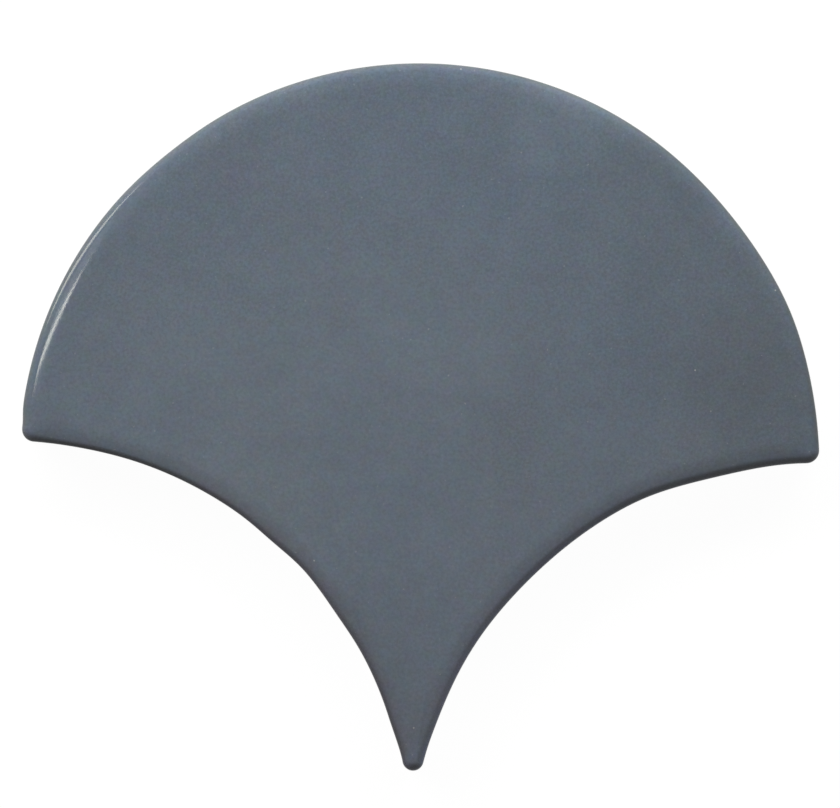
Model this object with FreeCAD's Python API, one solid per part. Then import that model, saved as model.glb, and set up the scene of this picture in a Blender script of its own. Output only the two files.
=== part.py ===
import FreeCAD, Part

import math
import os

# Fish scale wall tile: one pressed and glazed ceramic piece, lying on its back.
#
# Seen on its face the tile is a round head over two hollow flanks that run down to a narrow tip. One radius draws all
# three arcs, so the heads of one row nest in the flanks of the next. The face is a pillow: a flat field that bends
# down in a wide arc and then in a tight one, into a wall that leans in a little towards the back. The back is pressed
# with level ribs, and the grooves between them key the tile to its adhesive.
#
# Millimetres. The origin is the centre of the head's arc, on the plane of the back. +Z leaves the glazed face, and +Y
# points at the top of the head.

Vector = FreeCAD.Vector
UP = Vector(0, 0, 1)

# Outline at the tile's widest level
ARC_RADIUS = 60.0  # of the head and of both flanks, and half the distance between two tiles of a row
ROW_PITCH = 58.2  # from the centre of the head's arc down to the centres of the flanks' arcs
CORNER_RADIUS = 2.0  # where the head meets a flank
TIP_RADIUS = 1.6  # where the two flanks meet

# Section through the edge
THICKNESS = 9.0
PILLOW_RADIUS = 9.5  # the wide bend, from the flat field outwards
PILLOW_TURN = 14.0  # degrees that the wide bend turns before the tight one takes over
EDGE_RADIUS = 1.6  # the tight bend, down into the wall
WALL_LEAN = 0.4  # how far the wall has moved inwards at the back
BACK_ARRIS = 0.5  # broken edge round the back

# Corners of the flat field, softer than the rim's
FIELD_CORNER_RADIUS = 3.0
FIELD_TIP_RADIUS = 2.5

# Key on the back
KEY_MARGIN = 4.5  # plain border inside the broken edge
KEY_DEPTH = 0.7
KEY_DRAFT = 35.0  # degrees that the grooves' sides lean, so that the tile leaves its die
RIB_WIDTH = 3.0
RIB_PITCH = 8.0
SHORTEST_GROOVE = 8.0  # a shorter stretch isn't pressed

PILLOW_SECTIONS = 4


def outline(inset, corner_radius, tip_radius, height):
    """The tile's outline moved inwards by inset, as a closed wire of six tangent arcs at the given height."""
    head = ARC_RADIUS - inset
    flank = ARC_RADIUS + inset
    head_centre = Vector(0, 0, 0)
    flank_centre = Vector(ARC_RADIUS, -ROW_PITCH, 0)
    corner_centre = crossing(head_centre, head - corner_radius, flank_centre, flank + corner_radius)
    tip_centre = Vector(0, math.sqrt((flank + tip_radius) ** 2 - ARC_RADIUS**2) - ROW_PITCH, 0)

    head_top = Vector(0, head, 0)
    head_end = towards(head_centre, corner_centre, head)
    flank_start = towards(flank_centre, corner_centre, flank)
    flank_end = towards(flank_centre, tip_centre, flank)
    tip_end = tip_centre - Vector(0, tip_radius, 0)
    corner_middle = towards(corner_centre, (head_end + flank_start) / 2, corner_radius)
    flank_middle = towards(flank_centre, (flank_start + flank_end) / 2, flank)

    arcs = [
        (mirrored(head_end), head_top, head_end),
        (head_end, corner_middle, flank_start),
        (flank_start, flank_middle, flank_end),
        (flank_end, tip_end, mirrored(flank_end)),
        (mirrored(flank_end), mirrored(flank_middle), mirrored(flank_start)),
        (mirrored(flank_start), mirrored(corner_middle), mirrored(head_end)),
    ]
    lift = UP * height
    return Part.Wire([Part.Arc(*(point + lift for point in arc)).toShape() for arc in arcs])


def crossing(centre_a, radius_a, centre_b, radius_b):
    """Where two circles cross, on the left of the way from the first centre to the second."""
    way = centre_b - centre_a
    along = (radius_a**2 - radius_b**2 + way.Length**2) / (2 * way.Length)
    aside = math.sqrt(radius_a**2 - along**2)
    way.normalize()
    return centre_a + way * along + UP.cross(way) * aside


def towards(start, target, distance):
    """The point that lies the given distance from start, on the way to target."""
    way = target - start
    way.normalize()
    return start + way * distance


def mirrored(point):
    """The same point on the tile's left half."""
    return Vector(-point.x, point.y, point.z)


def edge_point(slope):
    """Where the tight bend has the given slope, as (inset, height)."""
    turn = math.radians(PILLOW_TURN)
    drop = PILLOW_RADIUS * (1 - math.cos(turn)) + EDGE_RADIUS * (math.cos(turn) - math.cos(slope))
    return EDGE_RADIUS * (1 - math.sin(slope)), THICKNESS - drop


def pillow_point(slope):
    """Where the wide bend has the given slope, as (inset, height)."""
    turn = math.radians(PILLOW_TURN)
    inset = edge_point(turn)[0] + PILLOW_RADIUS * (math.sin(turn) - math.sin(slope))
    return inset, THICKNESS - PILLOW_RADIUS * (1 - math.cos(slope))


def layer(edges, inner):
    """One layer of the tile, as solids: a core, and its edge turned round each arc of the outline.

    The edges are lines of two points and arcs of three, from the layer's foot up, and each point is (inset, height).
    The inner point closes their section on the core's side.
    """
    core_inset = inner[0]
    foot = edges[0][0]
    top = edges[-1][-1]
    floor = outline(core_inset, CORNER_RADIUS - core_inset, TIP_RADIUS - core_inset, foot[1])
    solids = [Part.Face(floor).extrude(UP * (top[1] - foot[1]))]
    for rail in outline(0, CORNER_RADIUS, TIP_RADIUS, 0).Edges:
        start = rail.valueAt(rail.FirstParameter)
        inwards = rail.tangentAt(rail.FirstParameter).cross(UP)
        section = []
        for edge in edges + [(top, inner), (inner, foot)]:
            points = [start + inwards * inset + UP * height for inset, height in edge]
            section.append(Part.Arc(*points).toShape() if len(points) == 3 else Part.makeLine(*points))
        sweep = math.degrees(rail.LastParameter - rail.FirstParameter)
        solids.append(Part.Face(Part.Wire(section)).revolve(rail.Curve.Center, rail.Curve.Axis, sweep))
    return solids


def pillow():
    """The wide bend and the flat field, whose corners grow softer on the way up."""
    turn = math.radians(PILLOW_TURN)
    rim_inset = edge_point(turn)[0]
    sections = []
    for number in range(PILLOW_SECTIONS):
        done = number / (PILLOW_SECTIONS - 1)
        inset, height = pillow_point(turn * (1 - done))
        corner_radius = between(CORNER_RADIUS - rim_inset, FIELD_CORNER_RADIUS, done)
        tip_radius = between(TIP_RADIUS - rim_inset, FIELD_TIP_RADIUS, done)
        sections.append(outline(inset, corner_radius, tip_radius, height))
    return Part.makeLoft(sections, True)


def between(start, end, done):
    """The value that part of the way from start to end has."""
    return start + (end - start) * done


def blank():
    """The tile with a plain back."""
    turn = math.radians(PILLOW_TURN)
    foot = (WALL_LEAN + BACK_ARRIS, 0)
    heel = (WALL_LEAN, BACK_ARRIS)
    shoulder = edge_point(math.pi / 2)
    bend = edge_point((math.pi / 2 + turn) / 2)
    rim = edge_point(turn)
    wall_layer = layer([(foot, heel), (heel, shoulder)], (foot[0], shoulder[1]))
    edge_layer = layer([(shoulder, bend, rim)], (rim[0], shoulder[1]))
    joined = pillow().multiFuse(wall_layer + edge_layer, 1e-5)
    return joined.removeSplitter()


def grooves():
    """The solids that the back's grooves are pressed by, one for each gap between two ribs."""
    splay = KEY_DEPTH * math.tan(math.radians(KEY_DRAFT))
    margin = WALL_LEAN + BACK_ARRIS + KEY_MARGIN
    mouth = outline(margin, CORNER_RADIUS, TIP_RADIUS, 0)
    floor = outline(margin + splay, CORNER_RADIUS, TIP_RADIUS, KEY_DEPTH)
    field = Part.makeLoft([mouth, floor], True, True)
    box = field.BoundBox
    pressed = []
    for rib in range(math.floor(box.YMin / RIB_PITCH), math.ceil(box.YMax / RIB_PITCH)):
        low = rib * RIB_PITCH + RIB_WIDTH / 2
        high = (rib + 1) * RIB_PITCH - RIB_WIDTH / 2
        corners = [
            Vector(box.XMin, low, 0),
            Vector(box.XMin, high, 0),
            Vector(box.XMin, high - splay, KEY_DEPTH),
            Vector(box.XMin, low + splay, KEY_DEPTH),
        ]
        bar = Part.Face(Part.makePolygon(corners + corners[:1])).extrude(Vector(box.XLength, 0, 0))
        groove = bar.common(field)
        if groove.Solids and groove.BoundBox.XLength > SHORTEST_GROOVE:
            pressed.append(groove)
    return pressed


def main():
    os.makedirs("parts", exist_ok=True)
    tile = blank().cut(grooves()).Solids[0]
    tile.exportStep("parts/tile.step")


main()
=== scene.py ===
import math

import bpy
from mathutils import Matrix, Vector, noise
from mathutils.geometry import delaunay_2d_cdt


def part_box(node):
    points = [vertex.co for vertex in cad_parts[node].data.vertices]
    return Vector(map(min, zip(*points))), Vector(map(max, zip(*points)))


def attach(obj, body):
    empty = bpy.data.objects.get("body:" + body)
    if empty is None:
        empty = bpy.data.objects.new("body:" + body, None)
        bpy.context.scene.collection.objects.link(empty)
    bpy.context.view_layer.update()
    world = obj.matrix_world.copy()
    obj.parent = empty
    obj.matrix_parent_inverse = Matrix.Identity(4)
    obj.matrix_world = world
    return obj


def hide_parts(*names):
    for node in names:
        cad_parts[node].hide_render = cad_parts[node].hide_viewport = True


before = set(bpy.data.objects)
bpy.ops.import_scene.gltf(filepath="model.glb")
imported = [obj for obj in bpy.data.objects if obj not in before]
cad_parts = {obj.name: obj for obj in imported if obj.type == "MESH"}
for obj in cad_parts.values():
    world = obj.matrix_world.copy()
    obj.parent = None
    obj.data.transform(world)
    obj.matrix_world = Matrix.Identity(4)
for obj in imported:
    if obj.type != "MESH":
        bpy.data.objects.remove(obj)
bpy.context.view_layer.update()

# A glazed fish scale tile, lying on a pale floor under soft light from the top of the picture.
#
# The tile is one closed mesh: rings that climb the wall and bend over into the face, a fine net of
# triangles over the flat field, and another over the ribbed back. Metres, in the frame's axes: +Z leaves
# the face, +Y points at the top of the round head.

MM = 0.001


def rgb(red, green, blue):
    """A colour with no transparency."""
    return (red, green, blue, 1.0)


def grey(value):
    """A grey with no transparency."""
    return rgb(value, value, value)


# The CAD outline and edge
low_corner, high_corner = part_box("tile")
ARC_RADIUS = high_corner.y
THICKNESS = high_corner.z
ROW_PITCH = 58.2 * MM
EDGE_RADIUS = 1.6 * MM
PILLOW_RADIUS = 9.5 * MM
PILLOW_TURN = math.radians(14)
WALL_LEAN = 0.4 * MM
BACK_ARRIS = 0.5 * MM
FIELD_CORNER_RADIUS = 3.0 * MM
FIELD_TIP_RADIUS = 2.5 * MM

# This tile as it was pressed: no two corners alike, a crisper left flank, a tip that leans, a wavy
# outline and a face that isn't quite flat
RIGHT_CORNER_RADIUS = 1.9 * MM
LEFT_CORNER_RADIUS = 2.05 * MM
TIP_RADIUS = 1.6 * MM
TIP_LEAN = (0.33 * MM, -0.16 * MM)
TIP_REACH = 8 * MM
TIP_EASE = 6.5 * MM
CRISP_EDGE_RADIUS = 1.15 * MM
CRISP_RISE = (-91, -99)  # from where to where the crisp edge sets in, and fades, in mm clockwise
CRISP_FALL = (-112, -174)
OUTLINE_WAVES = (  # mm clockwise from the top of the head, half width, and how far outwards
    (-148, 3.5, 0.22),
    (-139, 2.5, -0.08),
    (-133, 3, 0.2),
    (-101, 5, 0.1),
    (-90, 1.4, -0.27),
    (-62, 18, 0.12),
    (-42, 6, -0.18),
    (8, 30, 0.09),
    (50, 10, -0.22),
    (69, 6, 0.21),
    (91, 2, 0.01),
    (107, 6.3, 0.5),
    (119, 4, -0.07),
    (140, 10, 0.37),
    (166, 8, 0.44),
)
FACE_RIPPLES = ((0.03 * MM, 26 * MM, 3.1), (0.012 * MM, 9 * MM, 7.7))  # height, size and seed

# The glaze runs over the face and most of the wall, and ends in a bead above the bare clay
GLAZE_THICKNESS = 0.15 * MM
GLAZE_LINE = 1.9 * MM
GLAZE_LINE_RIPPLES = ((0.616 * MM, 11 * MM, 1.3), (0.264 * MM, 3.2 * MM, 5.9))  # height, size and seed
BEAD = ((0.09, 0.015), (0.16, 0.07), (0.2, 0.18), (0.2, 0.36), (0.17, 0.7), (0.15, 1.1))  # mm out and up

# Key on the back
KEY_MARGIN = WALL_LEAN + BACK_ARRIS + 4.5 * MM
KEY_CORNER_RADIUS = 2.4 * MM
KEY_TIP_RADIUS = 1.6 * MM
KEY_DEPTH = 0.7 * MM
KEY_SPLAY = KEY_DEPTH * math.tan(math.radians(35))
KEY_ROUNDING = 0.18 * MM
RIB_WIDTH = 3.0 * MM
RIB_PITCH = 8.0 * MM
SHORTEST_GROOVE = 8.0 * MM

# Steps of the mesh. The counts are the steps along the outline's head, corner, flank and tip.
RING_COUNTS = (170, 20, 130, 12)
GROOVE_COUNTS = (60, 6, 45, 4)
FLOOR_COUNTS = (60, 4, 40, 4)
ARRIS_STEPS = 4
CLAY_STEPS = 4
WALL_SHARES = (0.3, 0.6, 0.85)  # of the way from the bead up to the tight bend
TIGHT_STEPS = 16
WIDE_STEPS = 14
GROOVE_STEPS = 8
LOOP_STEP = 1.5 * MM
FIELD_SPACING = 1.3 * MM
FIELD_MARGIN = 1.0 * MM
TRIANGLE_HEIGHT = 0.866  # of a triangle whose sides are 1
NET_TOLERANCE = 1e-9

# Noises, each its scale, detail and roughness
CLOUDS = (45, 4.0, 0.85)
FAINT_PATCHES = (30, 2.0, 0.6)
GREEN_GRAIN = (520, 3.0, 0.6)
BLUE_GRAIN = (650, 3.0, 0.6)
FINE_GRAIN = (2200, 3.0, 0.65)
RAGGEDNESS = (120, 3.0, 0.6)
DUST = (1900, 1.0, 0.5)
GLOSS = (200, 1.0, 0.5)
PEEL = (300, 2.0, 0.3)
PITS = (2600, 2.0, 0.5)
CLAY_CLOUDS = (70, 4.0, 0.5)
CLAY_RELIEF = (1500, 4.0, 0.7)
ASIDE = (1.0, 2.0, 3.0)  # how far a second noise is moved, to have nothing to do with the first

# Gloss and relief of both materials. A bump is its strength and its distance.
GLAZE_IOR = 1.4
GLAZE_ROUGHNESS = (0.09, 0.11)
GLAZE_SPECULAR = (0.1, 0.5)  # at the rim, and away from it
GLAZE_BUMP = (0.18, 0.02 * MM)
PITS_SHARE = 0.05
CLAY_ROUGHNESS = 0.85
CLAY_BUMP = (0.5, 0.08 * MM)

# Slate colours of the glaze, and the pairs of tints that mottle it
SLATE = rgb(0.0987, 0.1243, 0.1582)
DEEP_SLATE = rgb(0.0838, 0.1055, 0.1345)
HEIGHT_TINTS = (rgb(1.025, 1.0, 0.995), rgb(0.965, 0.995, 1.01))
PATCH_TINTS = (rgb(0.985, 1.0, 1.015), rgb(1.015, 1.0, 0.985))
GREEN_TINTS = (rgb(0.95, 1.03, 1.0), rgb(1.05, 0.97, 1.0))
BLUE_TINTS = (rgb(0.985, 0.985, 1.06), rgb(1.015, 1.015, 0.94))
NO_TINT = grey(1.0)

# Tints towards the rim, where the glaze thins, and on the rim itself: mostly painted light and shade, set
# apart for the head, its sides and each flank
THIN_HEAD_SHADING = rgb(1.04, 1.04, 1.06)
THIN_RIGHT_OF_HEAD_SHADING = rgb(1.11, 1.13, 1.17)
THIN_FLANK_SHADING = rgb(1.19, 1.03, 1.05)
THIN_LEFT_FLANK_SHADING = rgb(1.07, 0.91, 0.89)
THIN_RIGHT_FLANK_SHADING = rgb(1.22, 1.1, 1.2)
RIM_HEAD_SHADING = rgb(1.09, 1.0, 0.85)
RIM_LEFT_OF_HEAD_SHADING = rgb(1.2, 1.09, 0.93)
RIM_FLANK_SHADING = rgb(1.03, 0.96, 1.0)
RIM_RIGHT_FLANK_SHADING = rgb(1.6, 1.75, 2.0)
RIM_LEFT_OF_TIP_SHADE = rgb(0.5, 0.5, 0.52)

# Painted shade over the face, lightest near a point left of the middle and darker away from it; the larger
# patches, partly the glaze's own and partly painted light and shade; and the pale specks
PAINTED_LIGHT_MIDDLE = (-9 * MM, 0, THICKNESS)
PAINTED_SHADE_FALLOFF = (15 * MM, 66 * MM, 1.03, 0.865)  # nearest, farthest, and the colour's share at each
RAGGED_REACH = 3 * MM
# Partly patches of the glaze, partly painted light and shade: painted shade on the right of the face,
# painted light at the tip
PATCHES_AND_SHADING = (  # x, y and reach in mm, and tint
    (20, 54, 11, rgb(1.24, 1.23, 1.2)),
    (3, 55, 26, rgb(1.02, 1.035, 1.075)),
    (-28, 42, 5, rgb(1.05, 0.95, 1.0)),
    (-25, 5, 26, rgb(1.05, 1.05, 1.04)),
    (-20, -9, 13, rgb(1.06, 1.055, 1.0)),
    (47, 13, 17, rgb(0.91, 0.89, 0.86)),
    (1, -43, 8, rgb(0.88, 0.92, 0.9)),
    (-60, 1, 7, rgb(0.86, 0.87, 0.87)),
    (1.8, -44.5, 5, rgb(1.08, 1.12, 1.2)),
)
SPECKS = ((0.3, -39.5), (40.9, 15.2), (-15.3, -14.9), (4.6, 59.3), (52.6, 27.5))  # x and y in mm
SPECK_RADIUS = 0.16 * MM
SPECK_COLOUR = grey(0.42)
SPECK_SHARE = 0.5
DUST_SHARE = 0.2

# Colours of the bare clay, and of its stain where the glaze ends
CREAM = rgb(0.56, 0.49, 0.40)
BUFF = rgb(0.47, 0.39, 0.30)
IRON = rgb(0.25, 0.17, 0.12)
STAIN = rgb(0.30, 0.24, 0.2)
IRON_SHARE = 0.7
STAIN_SHARE = 0.55

# The floor. Its hole and brim are outlines: how far inwards, and the radii of two corners and the tip.
FLOOR_RADIUS = 4.0
FLOOR_LEVEL = -0.02 * MM
FLOOR_HOLE = (1.0 * MM, 1.0 * MM, 1.0 * MM, 0.6 * MM)
FLOOR_BRIM = (0.1 * MM, 1.9 * MM, 1.9 * MM, 1.5 * MM)
BRIM_LIGHT = 0.35
FLOOR_GLOW = (0.12, 0.4, 0.975, 1.0)  # nearest, farthest, and the strength at each
FLOOR_GREY = grey(0.045)
DIM_FLOOR_GREY = grey(0.3)
WORLD_GREY = grey(0.06)

# Lamps, with directions in degrees: azimuth from +X towards +Y, and elevation
WINDOWS = (("left_window", 129, 3.3), ("right_window", 69, 2.75))  # name, azimuth and watts
WINDOW_ELEVATION = 27
WINDOW_SIZE = (0.5, 0.22)
WINDOW_COLOUR = (1, 0.99, 0.97)
UNDER_LAMP_DIRECTION = (240, -40)
UNDER_LAMP_SIZE = (0.4, 0.3)
UNDER_LAMP_WATTS = 4.0
LAMP_DISTANCE = 0.5
STREAKS = (  # name, azimuth and inset in mm of both ends, width, watts and colour
    ("outer_streak", (138.8, 0.94), (158, 0.53), 0.11, 1.25, (1, 0.98, 0.84)),
    ("inner_streak", (154, 2.1), (168.5, 1.21), 0.025, 0.205, (1, 0.985, 0.89)),
    ("soft_streak", (144, 1.6), (162, 1.25), 0.13, 0.07, (0.85, 1, 1.07)),
)
STREAK_DISTANCE = 0.6

# Where the picture shows the tile
PICTURE_WIDTH, PICTURE_HEIGHT = 840, 808
PICTURE_SCALE = 6.669 / MM  # pixels to a metre
PICTURE_ORIGIN = (419.12, 463.94)  # the pixel of the frame's origin
PICTURE_TURN = 0.028  # radians
CAMERA_DISTANCE = 1.0
SENSOR_WIDTH = 36  # mm
FARTHEST_SEEN = 20


# Outline


def bearing(way):
    """The way's angle from +X."""
    return math.atan2(way.y, way.x)


def between(start, end, done):
    """The value that part of the way from start to end has."""
    return start + (end - start) * done


def eased(value, low, high):
    """How far a value has come from low to high, between 0 and 1, with a soft start and end."""
    done = max(0.0, min(1.0, (value - low) / (high - low)))
    return done * done * (3 - 2 * done)


def rippled(place, ripples):
    """Smooth noise at a place, the sum of ripples that each have a height, a size and a seed."""
    total = 0.0
    for height, size, seed in ripples:
        total += height * noise.noise(Vector((place.x / size, place.y / size, seed)))
    return total


def half_outline(inset, corner_radius, tip_radius, counts):
    """The right half of the outline moved inwards by inset, from the top of the head down to the tip.

    The counts are the steps along the head, the corner, the flank and the tip.
    """
    head = ARC_RADIUS - inset
    flank = ARC_RADIUS + inset
    flank_centre = Vector((ARC_RADIUS, -ROW_PITCH))
    reach = head - corner_radius
    stretch = flank + corner_radius
    along = (reach**2 - stretch**2 + flank_centre.length_squared) / (2 * flank_centre.length)
    way = flank_centre.normalized()
    corner_centre = way * along + Vector((-way.y, way.x)) * math.sqrt(reach**2 - along**2)
    tip_centre = Vector((0, math.sqrt((flank + tip_radius) ** 2 - ARC_RADIUS**2) - ROW_PITCH))

    head_end = bearing(corner_centre)
    corner_end = bearing(flank_centre - corner_centre)
    flank_start = bearing(corner_centre - flank_centre)
    flank_end = bearing(tip_centre - flank_centre)
    tip_start = bearing(flank_centre - tip_centre)
    arcs = (
        (Vector((0, 0)), head, math.pi / 2, head_end),
        (corner_centre, corner_radius, head_end, corner_end),
        (flank_centre, flank, flank_start, flank_end),
        (tip_centre, tip_radius, tip_start, -math.pi / 2),
    )
    points = [Vector((0, head))]
    for (centre, radius, start, end), count in zip(arcs, counts):
        for step in range(1, count + 1):
            angle = start + (end - start) * step / count
            points.append(centre + radius * Vector((math.cos(angle), math.sin(angle))))
    return points


def outline(inset, right_radius, left_radius, tip_radius, counts):
    """The whole outline as a closed ring of points, clockwise from the top of the head."""
    right = half_outline(inset, right_radius, tip_radius, counts)
    left = half_outline(inset, left_radius, tip_radius, counts)
    return right[:-1] + [Vector((-point.x, point.y)) for point in reversed(left[1:])]


def edge_point(slope, radius=EDGE_RADIUS):
    """Where the tight bend of the edge has the given slope, as (inset, height)."""
    wide_drop = PILLOW_RADIUS * (1 - math.cos(PILLOW_TURN))
    drop = wide_drop + radius * (math.cos(PILLOW_TURN) - math.cos(slope))
    return radius * (1 - math.sin(slope)), THICKNESS - drop


def pillow_point(slope, radius=EDGE_RADIUS):
    """Where the wide bend has the given slope, as (inset, height), inside a tight bend of the radius."""
    start = edge_point(PILLOW_TURN, radius)[0]
    inset = start + PILLOW_RADIUS * (math.sin(PILLOW_TURN) - math.sin(slope))
    return inset, THICKNESS - PILLOW_RADIUS * (1 - math.cos(slope))


SHOULDER = edge_point(math.pi / 2)[1]
RIM = edge_point(PILLOW_TURN)[0]
FIELD_INSET = pillow_point(0)[0]


def slope_at(inset):
    """The slope of the face at an inset from the outline."""
    if inset < RIM:
        return math.asin(1 - inset / EDGE_RADIUS)
    return math.asin(max(0.0, math.sin(PILLOW_TURN) - (inset - RIM) / PILLOW_RADIUS))


class Pressing:
    """How this tile departs from the true one at each point of a ring.

    Each point has its own move, radius of the tight bend, top of the wall and height of the glaze's end.
    """

    def __init__(self):
        ring = outline(0, RIGHT_CORNER_RADIUS, LEFT_CORNER_RADIUS, TIP_RADIUS, RING_COUNTS)
        ways = [0.0]
        for before, place in zip(ring, ring[1:]):
            ways.append(ways[-1] + (place - before).length / MM)
        whole = ways[-1] + (ring[0] - ring[-1]).length / MM
        self.moves = []
        self.edge_radii = []
        for index, place in enumerate(ring):
            along = (ring[(index + 1) % len(ring)] - ring[index - 1]).normalized()
            outwards = Vector((-along.y, along.x))
            swell = 0.0
            for centre, width, height in OUTLINE_WAVES:
                gap = (ways[index] - centre + whole / 2) % whole - whole / 2
                swell += height * MM * math.exp(-0.5 * (gap / width) ** 2)
            at_tip = eased(low_corner.y + TIP_REACH - place.y, 0, TIP_EASE)
            self.moves.append(outwards * swell * (1 - at_tip) + Vector(TIP_LEAN) * at_tip)
            way = ways[index] - whole if ways[index] > whole / 2 else ways[index]
            crisp = eased(way, *CRISP_RISE) * (1 - eased(way, *CRISP_FALL))
            self.edge_radii.append(between(EDGE_RADIUS, CRISP_EDGE_RADIUS, crisp))
        self.shoulders = [edge_point(math.pi / 2, radius)[1] for radius in self.edge_radii]
        self.glaze_line = [GLAZE_LINE + rippled(place, GLAZE_LINE_RIPPLES) for place in ring]


PRESSING = Pressing()


# Mesh


class Build:
    """Points and faces of the tile, gathered ring by ring."""

    def __init__(self):
        self.points = []
        self.faces = []
        self.glazed = []
        self.above_line = []
        self.from_rim = []

    def add_ring(self, ring, above_line, from_rim):
        """Adds a ring of points and numbers them.

        Each point has its way up from the glaze line and its way in from the rim.
        """
        start = len(self.points)
        self.points.extend(ring)
        self.above_line.extend(above_line)
        self.from_rim.extend(from_rim)
        return list(range(start, len(self.points)))

    def join(self, lower, upper, glazed):
        """Closes the gap between two rings of equal length with faces."""
        count = len(lower)
        for index in range(count):
            following = (index + 1) % count
            self.faces.append((lower[following], lower[index], upper[index], upper[following]))
            self.glazed.append(glazed)

    def net(self, border, loops, extras, height, glazed):
        """Fills a ring with triangles that follow the loops and take in the extra points.

        The glazed net looks up, and the one of bare clay looks down.
        """
        flat = [self.points[number].xy for number in border]
        edges = []
        for loop in loops:
            start = len(flat)
            flat.extend(loop)
            edges.extend((start + index, start + (index + 1) % len(loop)) for index in range(len(loop)))
        flat.extend(extras)
        whole = [list(range(len(border)))]
        inside_only = 1
        found, _, triangles, origins, _, _ = delaunay_2d_cdt(flat, edges, whole, inside_only, NET_TOLERANCE)
        numbers = []
        for place, origin in zip(found, origins):
            on_border = [index for index in origin if index < len(border)]
            if on_border:
                numbers.append(border[on_border[0]])
            else:
                numbers.append(len(self.points))
                self.points.append(Vector((place.x, place.y, height(place))))
                self.above_line.append(THICKNESS if glazed else -GLAZE_LINE)
                self.from_rim.append(FIELD_INSET)
        for triangle in triangles:
            corners = [numbers[index] for index in triangle]
            first, second, third = (self.points[number].xy for number in corners)
            looks_up = (second - first).cross(third - first) > 0
            if looks_up != glazed:
                corners.reverse()
            self.faces.append(tuple(corners))
            self.glazed.append(glazed)


def ring_at(inset, sections):
    """One ring of the wall or of a bend.

    Each point has its own section, (inset, height), near the inset that the ring as a whole has.
    """
    done = max(0.0, (inset - RIM) / (FIELD_INSET - RIM))
    shrink = min(max(inset, 0.0), RIM)
    radii = []
    for radius, field_radius in (
        (RIGHT_CORNER_RADIUS, FIELD_CORNER_RADIUS),
        (LEFT_CORNER_RADIUS, FIELD_CORNER_RADIUS),
        (TIP_RADIUS, FIELD_TIP_RADIUS),
    ):
        radii.append(between(radius - shrink, field_radius, done))
    flat = outline(inset, *radii, RING_COUNTS)
    lifted = []
    for index, (own_inset, level) in enumerate(sections):
        along = flat[(index + 1) % len(flat)] - flat[index - 1]
        outwards = Vector((-along.y, along.x)).normalized()
        place = flat[index] + outwards * (inset - own_inset) + PRESSING.moves[index]
        share = eased(level, SHOULDER, THICKNESS)
        lifted.append(Vector((place.x, place.y, level + share * rippled(place, FACE_RIPPLES))))
    return lifted


def wall_lean(height):
    """How far the wall has moved inwards at a height."""
    return WALL_LEAN * (SHOULDER - height) / (SHOULDER - BACK_ARRIS)


def way_in(section, shoulder):
    """How far a point is in from the rim, or how far it is down the wall, as a number below 0."""
    inset, height = section
    return inset if height >= shoulder else height - shoulder


def clay_rings():
    """The rings from the back's broken edge up to the glaze's end: each its inset and its sections."""
    rings = []
    for step in range(ARRIS_STEPS + 1):
        turn = math.pi / 2 * step / ARRIS_STEPS
        inset = GLAZE_THICKNESS + WALL_LEAN + BACK_ARRIS * (1 - math.sin(turn))
        rings.append((inset, [(inset, BACK_ARRIS * (1 - math.cos(turn)))] * len(PRESSING.glaze_line)))
    for step in range(1, CLAY_STEPS + 1):
        share = step / CLAY_STEPS
        inset = GLAZE_THICKNESS + wall_lean(between(BACK_ARRIS, GLAZE_LINE, share))
        heights = [between(BACK_ARRIS, line, share) for line in PRESSING.glaze_line]
        rings.append((inset, [(inset, height) for height in heights]))
    return rings


def glazed_rings():
    """The rings from the glaze's bead up the wall and over both bends: each its inset and its sections."""
    rings = []
    for outwards, upwards in BEAD:
        inset = GLAZE_THICKNESS + wall_lean(GLAZE_LINE + upwards * MM) - outwards * MM
        rings.append((inset, [(inset, line + upwards * MM) for line in PRESSING.glaze_line]))
    bead_height = BEAD[-1][1] * MM
    for share in WALL_SHARES:
        inset = wall_lean(between(GLAZE_LINE + bead_height, SHOULDER, share))
        sections = []
        for line, shoulder in zip(PRESSING.glaze_line, PRESSING.shoulders):
            sections.append((inset, between(line + bead_height, shoulder, share)))
        rings.append((inset, sections))
    for step in range(TIGHT_STEPS + 1):
        slope = between(math.pi / 2, PILLOW_TURN, step / TIGHT_STEPS)
        rings.append((edge_point(slope)[0], [edge_point(slope, radius) for radius in PRESSING.edge_radii]))
    for step in range(1, WIDE_STEPS + 1):
        slope = PILLOW_TURN * (1 - step / WIDE_STEPS)
        sections = [pillow_point(slope, radius) for radius in PRESSING.edge_radii]
        rings.append((pillow_point(slope)[0], sections))
    return rings


def inside(place, inset):
    """Whether a place is inside the outline moved inwards by inset."""
    flank_distance = math.hypot(abs(place.x) - ARC_RADIUS, place.y + ROW_PITCH)
    on_head = place.length < ARC_RADIUS - inset
    return on_head and flank_distance > ARC_RADIUS + inset and place.y > low_corner.y + inset


def scattered(spacing, inset):
    """Points in a triangular grid inside the outline."""
    places = []
    row_height = spacing * TRIANGLE_HEIGHT
    rows = int((high_corner.y - low_corner.y) / row_height) + 1
    columns = int((high_corner.x - low_corner.x) / spacing) + 2
    for row in range(rows):
        for column in range(columns):
            x = low_corner.x + spacing * (column + 0.5 * (row % 2))
            place = Vector((x, low_corner.y + row_height * row))
            if inside(place, inset):
                places.append(place)
    return places


def clipped(loop, level, keep_above):
    """A loop cut off at a level of y."""
    side = 1 if keep_above else -1
    kept = []
    for index, place in enumerate(loop):
        before = loop[index - 1]
        if (before.y - level) * (place.y - level) < 0:
            kept.append(before.lerp(place, (level - before.y) / (place.y - before.y)))
        if (place.y - level) * side >= 0:
            kept.append(place)
    return kept


def stepped(loop, step):
    """A loop with no side longer than a step."""
    filled = []
    for index, place in enumerate(loop):
        before = loop[index - 1]
        parts = max(1, round((place - before).length / step))
        filled.extend(before.lerp(place, part / parts) for part in range(1, parts + 1))
    return filled


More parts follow.
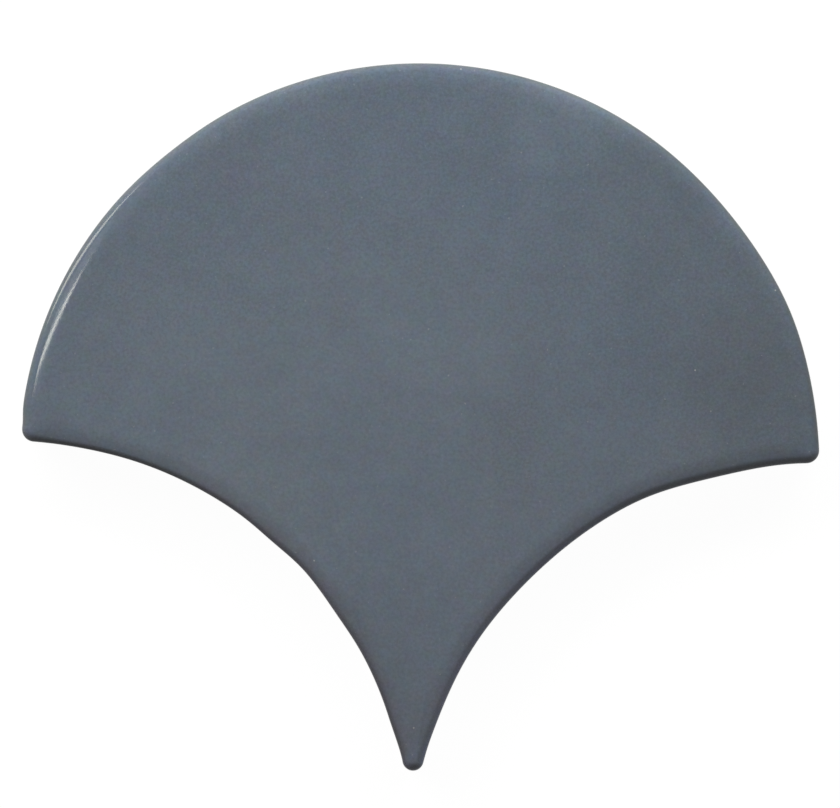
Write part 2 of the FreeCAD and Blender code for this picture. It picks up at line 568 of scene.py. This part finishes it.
def groove_profile():
    """How the side of a groove falls: (distance inwards from its mouth, depth)."""
    start = -KEY_ROUNDING
    end = KEY_SPLAY + KEY_ROUNDING
    profile = []
    for step in range(GROOVE_STEPS + 1):
        done = step / GROOVE_STEPS
        profile.append((between(start, end, done), KEY_DEPTH * eased(done, 0, 1)))
    return profile


def groove_loops():
    """The loops that follow the sides of the back's grooves, each with its depth."""
    loops = []
    profile = groove_profile()
    radii = (KEY_CORNER_RADIUS, KEY_CORNER_RADIUS, KEY_TIP_RADIUS)
    first = math.floor(low_corner.y / RIB_PITCH)
    last = math.ceil(high_corner.y / RIB_PITCH)
    for rib in range(first, last):
        low = rib * RIB_PITCH + RIB_WIDTH / 2
        high = (rib + 1) * RIB_PITCH - RIB_WIDTH / 2
        stack = []
        for distance, depth in profile:
            shape = outline(KEY_MARGIN + distance, *radii, GROOVE_COUNTS)
            shape = clipped(shape, low + distance, True)
            shape = clipped(shape, high - distance, False) if shape else shape
            if len(shape) > 2:
                stack.append((stepped(shape, LOOP_STEP), depth))
        if len(stack) == len(profile):
            widths = [place.x for place in stack[0][0]]
            if max(widths) - min(widths) > SHORTEST_GROOVE:
                loops.extend(stack)
    return loops


def place_key(place):
    """A place to a tenth of a micrometre, as the key that finds it again."""
    return round(place.x * 1e7), round(place.y * 1e7)


def tile_mesh():
    """The tile as one closed mesh, glazed faces in the first material and bare clay in the second."""
    build = Build()
    clay = clay_rings()
    rings = []
    for inset, sections in clay + glazed_rings():
        above_line = [height - line for (_, height), line in zip(sections, PRESSING.glaze_line)]
        from_rim = [way_in(section, shoulder) for section, shoulder in zip(sections, PRESSING.shoulders)]
        rings.append(build.add_ring(ring_at(inset, sections), above_line, from_rim))
    for index in range(1, len(rings)):
        build.join(rings[index - 1], rings[index], index >= len(clay))

    field = scattered(FIELD_SPACING, FIELD_INSET + FIELD_MARGIN)
    build.net(rings[-1], [], field, lambda place: THICKNESS + rippled(place, FACE_RIPPLES), True)

    grooves = groove_loops()
    depths = {place_key(place): depth for loop, depth in grooves for place in loop}
    loops = [loop for loop, _ in grooves]
    build.net(rings[0], loops, [], lambda place: depths.get(place_key(place), 0.0), False)

    mesh = bpy.data.meshes.new("fish_scale_tile")
    mesh.from_pydata(build.points, [], build.faces)
    mesh.polygons.foreach_set("material_index", [0 if glazed else 1 for glazed in build.glazed])
    mesh.polygons.foreach_set("use_smooth", [True] * len(build.faces))
    for name, values in (("above_line", build.above_line), ("from_rim", build.from_rim)):
        attribute = mesh.attributes.new(name, "FLOAT", "POINT")
        attribute.data.foreach_set("value", [value / MM for value in values])
    mesh.validate()
    mesh.update()
    return mesh


# Materials


class Nodes:
    """Short ways to fill a tree of nodes. A value is a number, a colour or another node's output."""

    def __init__(self, tree):
        self.tree = tree
        tree.nodes.clear()

    def put(self, socket, value):
        """Gives a socket its value."""
        if isinstance(value, bpy.types.NodeSocket):
            self.tree.links.new(value, socket)
        else:
            socket.default_value = value

    def add(self, kind, settings=None, **inputs):
        """A node of the given kind. Its inputs go by name, or by an underscore and a number."""
        node = self.tree.nodes.new(kind)
        for name, value in (settings or {}).items():
            setattr(node, name, value)
        for name, value in inputs.items():
            key = int(name[1:]) if name[0] == "_" else name.replace("_", " ")
            self.put(node.inputs[key], value)
        return node

    def place(self):
        """Where a point is on its object."""
        return self.add("ShaderNodeTexCoord").outputs["Object"]

    def attribute(self, name):
        """The value that the mesh's points have under a name."""
        return self.add("ShaderNodeAttribute", {"attribute_name": name}).outputs["Fac"]

    def noise(self, place, scale, detail, roughness):
        """Noise between 0 and 1, whose patches are about 1 / scale across."""
        node = self.add("ShaderNodeTexNoise", Vector=place, Scale=scale, Detail=detail, Roughness=roughness)
        return node.outputs["Fac"]

    def spread(self, value, low, high, start=0.0, end=1.0):
        """The value moved from the range low to high on to the range start to end."""
        return self.add("ShaderNodeMapRange", _0=value, _1=low, _2=high, _3=start, _4=end).outputs[0]

    def vector(self, operation, first, second, output="Vector"):
        """One sum of two places."""
        node = self.add("ShaderNodeVectorMath", {"operation": operation}, _0=first, _1=second)
        return node.outputs[output]

    def distance(self, first, second):
        """How far two places are apart."""
        return self.vector("DISTANCE", first, second, "Value")

    def math(self, operation, first, second):
        """One sum of two values."""
        return self.add("ShaderNodeMath", {"operation": operation}, _0=first, _1=second).outputs[0]

    def mix(self, share, first, second, blend="MIX"):
        """Two colours mixed by a share."""
        node = self.add("ShaderNodeMix", {"data_type": "RGBA", "blend_type": blend})
        self.put(node.inputs[0], share)
        self.put(node.inputs[6], first)
        self.put(node.inputs[7], second)
        return node.outputs[2]

    def tint(self, colour, share, tints):
        """A colour multiplied by a tint that goes from the first to the second of a pair with a share."""
        return self.mix(1.0, colour, self.mix(share, *tints), "MULTIPLY")

    def shade(self, colour, value):
        """A colour multiplied by a value."""
        shade = self.add("ShaderNodeCombineColor", _0=value, _1=value, _2=value).outputs[0]
        return self.mix(1.0, colour, shade, "MULTIPLY")

    def bump(self, relief, strength, distance):
        """The normal that a relief gives."""
        return self.add("ShaderNodeBump", Strength=strength, Distance=distance, Height=relief).outputs[0]


def new_material(name):
    """A material, and the nodes of its empty tree."""
    material = bpy.data.materials.new(name)
    material.use_nodes = True
    return material, Nodes(material.node_tree)


def mottled_slate(nodes, place):
    """The colour of the glaze away from the rim: clouded, faintly grainy, with painted shade that darkens
    it away from the middle.
    """
    _, upwards, _ = nodes.add("ShaderNodeSeparateXYZ", _0=place).outputs
    moved = nodes.vector("ADD", place, ASIDE)
    clouds = nodes.spread(nodes.noise(place, *CLOUDS), 0.32, 0.68)
    colour = nodes.mix(clouds, DEEP_SLATE, SLATE)
    colour = nodes.tint(colour, nodes.spread(upwards, -25 * MM, 50 * MM), HEIGHT_TINTS)
    green = nodes.spread(nodes.noise(place, *GREEN_GRAIN), 0.35, 0.65)
    colour = nodes.tint(colour, green, GREEN_TINTS)
    patches = nodes.spread(nodes.noise(moved, *FAINT_PATCHES), 0.38, 0.62)
    colour = nodes.tint(colour, patches, PATCH_TINTS)
    blue = nodes.spread(nodes.noise(moved, *BLUE_GRAIN), 0.35, 0.65)
    colour = nodes.tint(colour, blue, BLUE_TINTS)
    grain = nodes.spread(nodes.noise(place, *FINE_GRAIN), 0.3, 0.7, 0.86, 1.14)
    # Painted shade: darker with distance from a point left of the middle, towards the tip and the right
    # corner
    painted_shade = nodes.spread(nodes.distance(place, PAINTED_LIGHT_MIDDLE), *PAINTED_SHADE_FALLOFF)
    return nodes.shade(colour, nodes.math("MULTIPLY", grain, painted_shade))


def rim_thinned_and_shaded(nodes, colour, place, from_rim):
    """The glaze's colour towards the rim, where it thins, with painted light and shade set for each part of
    the head and the flanks.
    """
    across, upwards, _ = nodes.add("ShaderNodeSeparateXYZ", _0=place).outputs
    left = nodes.spread(across, 1 * MM, -2 * MM)
    right = nodes.spread(across, -1 * MM, 2 * MM)
    far_left = nodes.spread(across, -30 * MM, -44 * MM)
    far_right = nodes.spread(across, 25 * MM, 50 * MM)
    on_flank = nodes.spread(upwards, 5 * MM, -10 * MM)
    on_left_flank = nodes.math("MULTIPLY", left, nodes.spread(upwards, -4 * MM, -14 * MM))
    on_right_flank = nodes.math("MULTIPLY", right, nodes.spread(upwards, -32 * MM, -8 * MM, 0.5, 1.0))
    left_of_tip = nodes.math("MULTIPLY", left, nodes.spread(upwards, -22 * MM, -36 * MM))

    # Painted light and shade over the bends, set for the head, its right and each flank, where the glaze
    # also thins
    head_shading = nodes.mix(far_right, THIN_HEAD_SHADING, THIN_RIGHT_OF_HEAD_SHADING)
    flank_shading = nodes.mix(on_left_flank, THIN_FLANK_SHADING, THIN_LEFT_FLANK_SHADING)
    flank_shading = nodes.mix(on_right_flank, flank_shading, THIN_RIGHT_FLANK_SHADING)
    thin_shading = nodes.mix(on_flank, head_shading, flank_shading)
    colour = nodes.tint(colour, nodes.spread(from_rim, 0.3, 2.6, 1.0, 0.0), (NO_TINT, thin_shading))

    # Painted light and shade on the rim itself
    head_shading = nodes.mix(far_left, RIM_HEAD_SHADING, RIM_LEFT_OF_HEAD_SHADING)
    flank_shading = nodes.mix(on_right_flank, RIM_FLANK_SHADING, RIM_RIGHT_FLANK_SHADING)
    rim_shading = nodes.mix(on_flank, head_shading, flank_shading)
    # Painted shade along the left of the tip
    rim_shading = nodes.mix(left_of_tip, rim_shading, RIM_LEFT_OF_TIP_SHADE)
    return nodes.tint(colour, nodes.spread(from_rim, 0.2, 0.8, 1.0, 0.0), (NO_TINT, rim_shading))


def patched(nodes, colour, place):
    """The glaze's colour with its larger patches, partly its own and partly painted light and shade, its
    pale specks and a little dust.
    """
    flat = nodes.vector("MULTIPLY", place, (1, 1, 0))
    ragged = nodes.spread(nodes.noise(place, *RAGGEDNESS), 0.3, 0.7, -RAGGED_REACH, RAGGED_REACH)
    # Some patches are painted shade, on the right of the face, and painted light, at the tip
    for x, y, reach, tint in PATCHES_AND_SHADING:
        distance = nodes.math("ADD", nodes.distance(flat, (x * MM, y * MM, 0)), ragged)
        share = nodes.spread(distance, 0, reach * MM, 1.0, 0.0)
        colour = nodes.mix(share, colour, tint, "MULTIPLY")
    nearest = 1.0
    for x, y in SPECKS:
        nearest = nodes.math("MINIMUM", nodes.distance(flat, (x * MM, y * MM, 0)), nearest)
    speck = nodes.spread(nearest, SPECK_RADIUS * 0.4, SPECK_RADIUS, SPECK_SHARE, 0.0)
    moved = nodes.vector("ADD", place, ASIDE)
    dust = nodes.spread(nodes.noise(moved, *DUST), 0.73, 0.83, 0.0, DUST_SHARE)
    return nodes.mix(nodes.math("MAXIMUM", speck, dust), colour, SPECK_COLOUR)


def glaze_material():
    """Slate blue glaze: glossy, faintly mottled, with a soft peel and a few pale specks."""
    material, nodes = new_material("slate_glaze")
    place = nodes.place()
    from_rim = nodes.attribute("from_rim")
    colour = mottled_slate(nodes, place)
    colour = rim_thinned_and_shaded(nodes, colour, place, from_rim)
    colour = patched(nodes, colour, place)

    roughness = nodes.spread(nodes.noise(place, *GLOSS), 0.3, 0.7, *GLAZE_ROUGHNESS)
    pits = nodes.math("MULTIPLY", nodes.noise(place, *PITS), PITS_SHARE)
    relief = nodes.math("ADD", nodes.noise(place, *PEEL), pits)
    inside_rim = nodes.spread(from_rim, 0.1, 0.6, *GLAZE_SPECULAR)
    down_wall = nodes.spread(from_rim, -0.2, -1.5, *GLAZE_SPECULAR)
    shader = nodes.add(
        "ShaderNodeBsdfPrincipled",
        Base_Color=colour,
        Roughness=roughness,
        IOR=GLAZE_IOR,
        Specular_IOR_Level=nodes.math("MAXIMUM", inside_rim, down_wall),
        Normal=nodes.bump(relief, *GLAZE_BUMP),
    )
    nodes.add("ShaderNodeOutputMaterial", Surface=shader.outputs[0])
    return material


def clay_material():
    """Bare fired clay: pale, dull and grainy, stained where the glaze ends."""
    material, nodes = new_material("fired_clay")
    place = nodes.place()
    clouds = nodes.spread(nodes.noise(place, *CLAY_CLOUDS), 0.35, 0.65)
    grains = nodes.spread(nodes.noise(place, *FINE_GRAIN), 0.62, 0.72, 0.0, IRON_SHARE)
    stained = nodes.spread(nodes.attribute("above_line"), -0.5, 0.0, 0.0, STAIN_SHARE)
    colour = nodes.mix(clouds, CREAM, BUFF)
    colour = nodes.mix(grains, colour, IRON)
    colour = nodes.mix(stained, colour, STAIN)
    shader = nodes.add(
        "ShaderNodeBsdfPrincipled",
        Base_Color=colour,
        Roughness=CLAY_ROUGHNESS,
        Normal=nodes.bump(nodes.noise(place, *CLAY_RELIEF), *CLAY_BUMP),
    )
    nodes.add("ShaderNodeOutputMaterial", Surface=shader.outputs[0])
    return material


def white_for_camera(nodes):
    """1 for rays that see the background, directly or in a gloss or glass, and 0 for rays of light."""
    light_path = nodes.add("ShaderNodeLightPath").outputs
    seen = nodes.math("MAXIMUM", light_path["Is Camera Ray"], light_path["Is Glossy Ray"])
    return nodes.math("MAXIMUM", seen, light_path["Is Transmission Ray"])


def floor_material(name, lets_light_up):
    """Pale floor: white to the eye with the tile's shadow on it, and dim in the light it throws back.

    It is clear from below, where it would hide the tile's back, and where it lets light up, a share of
    the lamps' light passes it too.
    """
    material, nodes = new_material(name)
    glow = nodes.spread(nodes.distance(nodes.place(), (0, 0, 0)), *FLOOR_GLOW)
    white = nodes.add("ShaderNodeBsdfDiffuse", Color=FLOOR_GREY).outputs[0]
    shine = nodes.add("ShaderNodeEmission", Strength=glow).outputs[0]
    bright = nodes.add("ShaderNodeAddShader", _0=white, _1=shine).outputs[0]
    dim = nodes.add("ShaderNodeBsdfDiffuse", Color=DIM_FLOOR_GREY).outputs[0]
    from_above = nodes.add("ShaderNodeMixShader", _0=white_for_camera(nodes), _1=dim, _2=bright).outputs[0]
    open_to = nodes.add("ShaderNodeNewGeometry").outputs["Backfacing"]
    if lets_light_up:
        lamp_light = nodes.add("ShaderNodeLightPath").outputs["Is Shadow Ray"]
        open_to = nodes.math("MAXIMUM", open_to, nodes.math("MULTIPLY", lamp_light, BRIM_LIGHT))
    clear = nodes.add("ShaderNodeBsdfTransparent").outputs[0]
    mixed = nodes.add("ShaderNodeMixShader", _0=open_to, _1=from_above, _2=clear)
    nodes.add("ShaderNodeOutputMaterial", Surface=mixed.outputs[0])
    return material


# Stage


def add_object(name, data):
    """A new object in the scene."""
    added = bpy.data.objects.new(name, data)
    bpy.context.scene.collection.objects.link(added)
    return added


def add_floor():
    """The floor that the tile lies on, with a hole under the tile that lets light reach the tile's back.

    A brim round the hole, hidden under the tile, lets light up to the broken edge of the back as well.
    """
    hole = outline(*FLOOR_HOLE, FLOOR_COUNTS)
    brim = outline(*FLOOR_BRIM, FLOOR_COUNTS)
    far = [Vector((math.cos(bearing(place)), math.sin(bearing(place)))) * FLOOR_RADIUS for place in brim]
    count = len(hole)
    points = [(place.x, place.y, FLOOR_LEVEL) for place in hole + brim + far]
    faces = []
    for start in (0, count):
        outer = start + count
        for index in range(count):
            following = (index + 1) % count
            faces.append((start + index, start + following, outer + following, outer + index))
    mesh = bpy.data.meshes.new("floor")
    mesh.from_pydata(points, [], faces)
    mesh.polygons.foreach_set("material_index", [0] * count + [1] * count)
    mesh.materials.append(floor_material("brim", True))
    mesh.materials.append(floor_material("pale_floor", False))
    floor = add_object("floor", mesh)


def set_world():
    """A white surround to the eye, which lights the tile dimly and evenly."""
    world = bpy.data.worlds.new("surround")
    world.use_nodes = True
    bpy.context.scene.world = world
    nodes = Nodes(world.node_tree)
    colour = nodes.mix(white_for_camera(nodes), WORLD_GREY, grey(1.0))
    background = nodes.add("ShaderNodeBackground", Color=colour, Strength=1.0)
    nodes.add("ShaderNodeOutputWorld", Surface=background.outputs[0])


def direction(azimuth, elevation):
    """The unit vector that points to an azimuth, from +X towards +Y, and an elevation, in degrees."""
    turn = math.radians(azimuth)
    rise = math.radians(elevation)
    return Vector((math.cos(turn) * math.cos(rise), math.sin(turn) * math.cos(rise), math.sin(rise)))


def add_lamp(name, place, aim, size, watts, colour=(1, 1, 1), along=None):
    """A rectangular lamp that faces the aim, with its long side level or along the given way."""
    light = bpy.data.lights.new(name, "AREA")
    light.shape = "RECTANGLE"
    light.size, light.size_y = size
    light.energy = watts
    light.color = colour
    lamp = add_object(name, light)
    back = (place - aim).normalized()
    if along is None:
        across = Vector((0, 0, 1)).cross(back).normalized()
    else:
        across = (along - back * along.dot(back)).normalized()
    upwards = back.cross(across)
    lamp.matrix_world = Matrix.Translation(place) @ Matrix((across, upwards, back)).transposed().to_4x4()
    return lamp


def camera_place():
    """The camera's place, above the point of the frame that the picture's centre shows."""
    right = (PICTURE_WIDTH / 2 - PICTURE_ORIGIN[0]) / PICTURE_SCALE
    up = (PICTURE_ORIGIN[1] - PICTURE_HEIGHT / 2) / PICTURE_SCALE
    x = right * math.cos(PICTURE_TURN) - up * math.sin(PICTURE_TURN)
    y = right * math.sin(PICTURE_TURN) + up * math.cos(PICTURE_TURN)
    return Vector((x, y, SHOULDER + CAMERA_DISTANCE))


def add_camera():
    """A camera straight above the tile, turned a little, as the picture was."""
    data = bpy.data.cameras.new("camera")
    data.sensor_width = SENSOR_WIDTH
    data.lens = data.sensor_width * CAMERA_DISTANCE * PICTURE_SCALE / PICTURE_WIDTH
    data.clip_end = FARTHEST_SEEN
    camera = add_object("camera", data)
    camera.location = camera_place()
    camera.rotation_euler = (0, 0, PICTURE_TURN)
    bpy.context.scene.camera = camera


def mirrored_way(azimuth, inset):
    """A point on the head's bend, and the way in which it mirrors the camera's sight."""
    slope = slope_at(inset)
    radius = ARC_RADIUS - inset
    out = direction(azimuth, 0)
    point = out * radius + Vector((0, 0, THICKNESS))
    normal = out * math.sin(slope) + Vector((0, 0, math.cos(slope)))
    sight = (camera_place() - point).normalized()
    return point, (2 * sight.dot(normal) * normal - sight).normalized()


def add_streak(name, start, end, width, watts, colour):
    """A strip lamp whose image in the head's bend runs between two points, each (azimuth, inset)."""
    reached = []
    for azimuth, inset in (start, end):
        point, way = mirrored_way(azimuth, inset * MM)
        reached.append(point + way * STREAK_DISTANCE)
    aim = Vector((-ARC_RADIUS, ARC_RADIUS / 2, THICKNESS))
    along = reached[1] - reached[0]
    size = (along.length, width)
    lamp = add_lamp(name, (reached[0] + reached[1]) / 2, aim, size, watts, colour, along)
    lamp.visible_diffuse = False


def add_lamps():
    """Two windows at the top of the picture, a lamp for the back, and the strips that the bend mirrors."""
    face = Vector((0, 0, THICKNESS))
    for name, azimuth, watts in WINDOWS:
        place = face + direction(azimuth, WINDOW_ELEVATION) * LAMP_DISTANCE
        window = add_lamp(name, place, face, WINDOW_SIZE, watts, WINDOW_COLOUR)
        window.visible_glossy = False
    place = direction(*UNDER_LAMP_DIRECTION) * LAMP_DISTANCE
    under = add_lamp("under_lamp", place, Vector((0, 0, 0)), UNDER_LAMP_SIZE, UNDER_LAMP_WATTS)
    under.visible_glossy = False
    for streak in STREAKS:
        add_streak(*streak)


def main():
    """Builds the tile and its stage."""
    tile = add_object("fish_scale_tile", tile_mesh())
    tile.data.materials.append(glaze_material())
    tile.data.materials.append(clay_material())
    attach(tile, "root")
    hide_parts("tile")

    bpy.context.scene.view_settings.view_transform = "Standard"
    add_floor()
    set_world()
    add_camera()
    add_lamps()


main()
